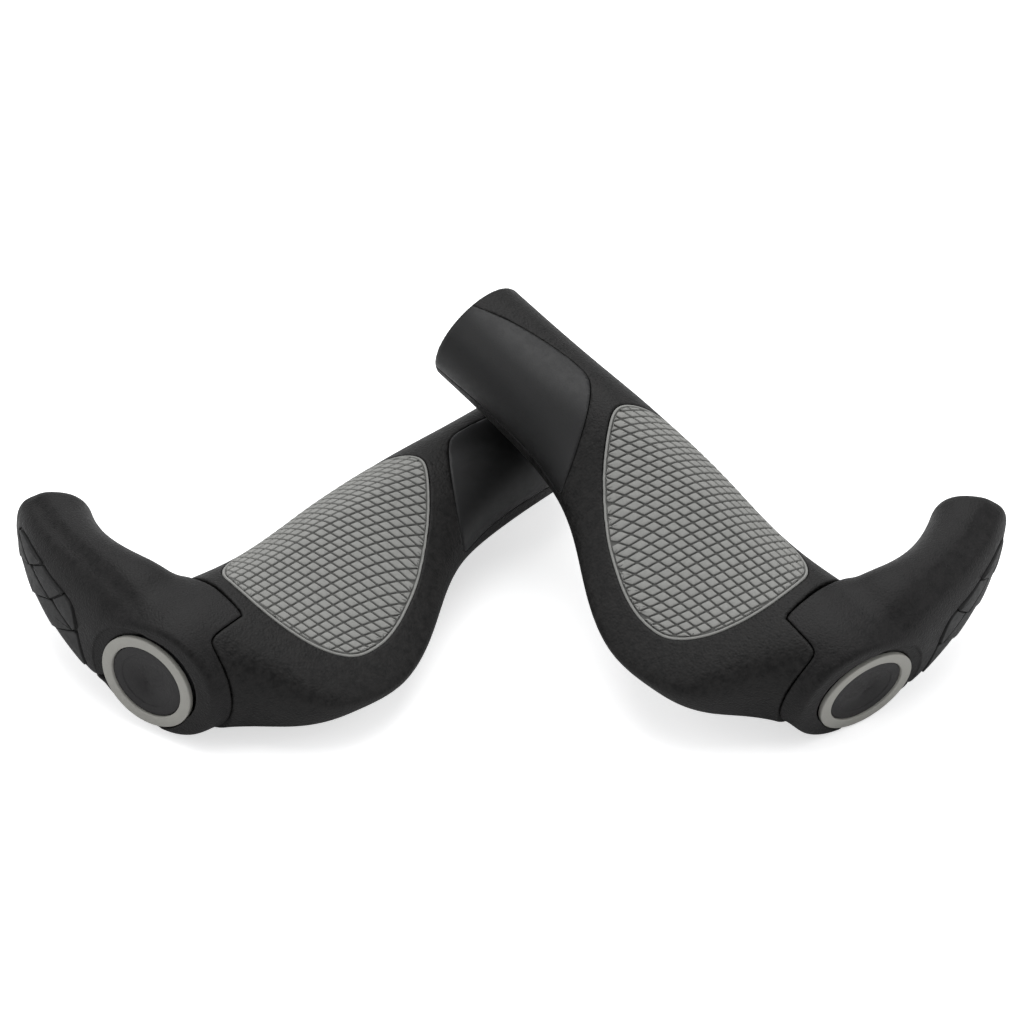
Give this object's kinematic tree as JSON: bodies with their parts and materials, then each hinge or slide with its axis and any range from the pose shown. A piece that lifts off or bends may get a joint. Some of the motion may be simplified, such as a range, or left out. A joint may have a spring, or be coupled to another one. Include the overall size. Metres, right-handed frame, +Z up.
{
  "type": "bar end grips",
  "caption": "Pair of ergonomic handlebar grips, each a winged palm rest on a tube with a forward-curving bar end, end cap and clamp screw, lying crossed.",
  "frame": {"origin": "middle of the pair's overall box, on the surface it lies on", "axes": "+X along the left grip's bar axis from its end cap to its inner end, +Y towards that grip's bar end horn, +Z up; the right grip's bar axis lies in the YZ plane, tilted up"},
  "size_m": [0.2032, 0.2044, 0.0705],
  "materials": {
    "tube": "matt black nylon",
    "grip_rubber": "matt, fine pebble texture",
    "pad_gel": "soft grey, diamond grid",
    "sleeve_rubber": "smooth satin",
    "horn_nylon": "matt, very fine grain",
    "rib_rubber": "satin, stepped ribs",
    "screw_steel": "zinc plated",
    "cap_plastic": "matt black",
    "ring_plastic": "satin warm grey"
  },
  "bodies": {
    "left_grip": {"left_core": "tube", "left_grip_body": "grip_rubber", "left_palm_pad": "pad_gel", "left_thumb_sleeve": "sleeve_rubber"},
    "left_horn": {"left_bar_end": "horn_nylon", "left_rib_pad": "rib_rubber", "left_clamp_nut": "screw_steel"},
    "left_screw": {"left_clamp_screw": "screw_steel", "left_clamp_washer": "screw_steel"},
    "left_cap": {"left_cap_plug": "cap_plastic", "left_cap_ring": "ring_plastic", "left_cap_disc": "cap_plastic"},
    "right_grip": {"right_core": "tube", "right_grip_body": "grip_rubber", "right_palm_pad": "pad_gel", "right_thumb_sleeve": "sleeve_rubber"},
    "right_horn": {"right_bar_end": "horn_nylon", "right_rib_pad": "rib_rubber", "right_clamp_nut": "screw_steel"},
    "right_screw": {"right_clamp_screw": "screw_steel", "right_clamp_washer": "screw_steel"},
    "right_cap": {"right_cap_plug": "cap_plastic", "right_cap_ring": "ring_plastic", "right_cap_disc": "cap_plastic"}
  },
  "joints": [
    {"name": "left_swivel", "type": "hinge", "parent": "left_grip", "child": "left_horn", "pos_m": [-0.09801, 0.03416, 0.01955], "axis": [1, 0, 0], "range_deg": [-12, 0]},
    {"name": "right_swivel", "type": "hinge", "parent": "right_grip", "child": "right_horn", "pos_m": [0.03359, -0.09724, 0.01665], "axis": [0, 0.965, 0.2622], "range_deg": [0, 12]},
    {"name": "left_screw_turn", "type": "hinge", "parent": "left_horn", "child": "left_screw", "pos_m": [-0.09231, 0.05052, 0.01157], "axis": [0, 0.438, 0.899], "range_deg": [-720, 0]},
    {"name": "right_screw_turn", "type": "hinge", "parent": "right_horn", "child": "right_screw", "pos_m": [0.04995, -0.08965, 0.01044], "axis": [0.438, -0.2357, 0.8675], "range_deg": [-720, 0]},
    {"name": "left_cap_pull", "type": "slide", "parent": "left_horn", "child": "left_cap", "axis": [-1, 0, 0], "range_m": [0, 0.025]},
    {"name": "right_cap_pull", "type": "slide", "parent": "right_horn", "child": "right_cap", "axis": [0, -0.965, -0.2622], "range_m": [0, 0.025]},
    {"name": "right_grip_lift", "type": "slide", "parent": "left_grip", "child": "right_grip", "axis": [0, 0, 1], "range_m": [0, 0.06]}
  ]
}
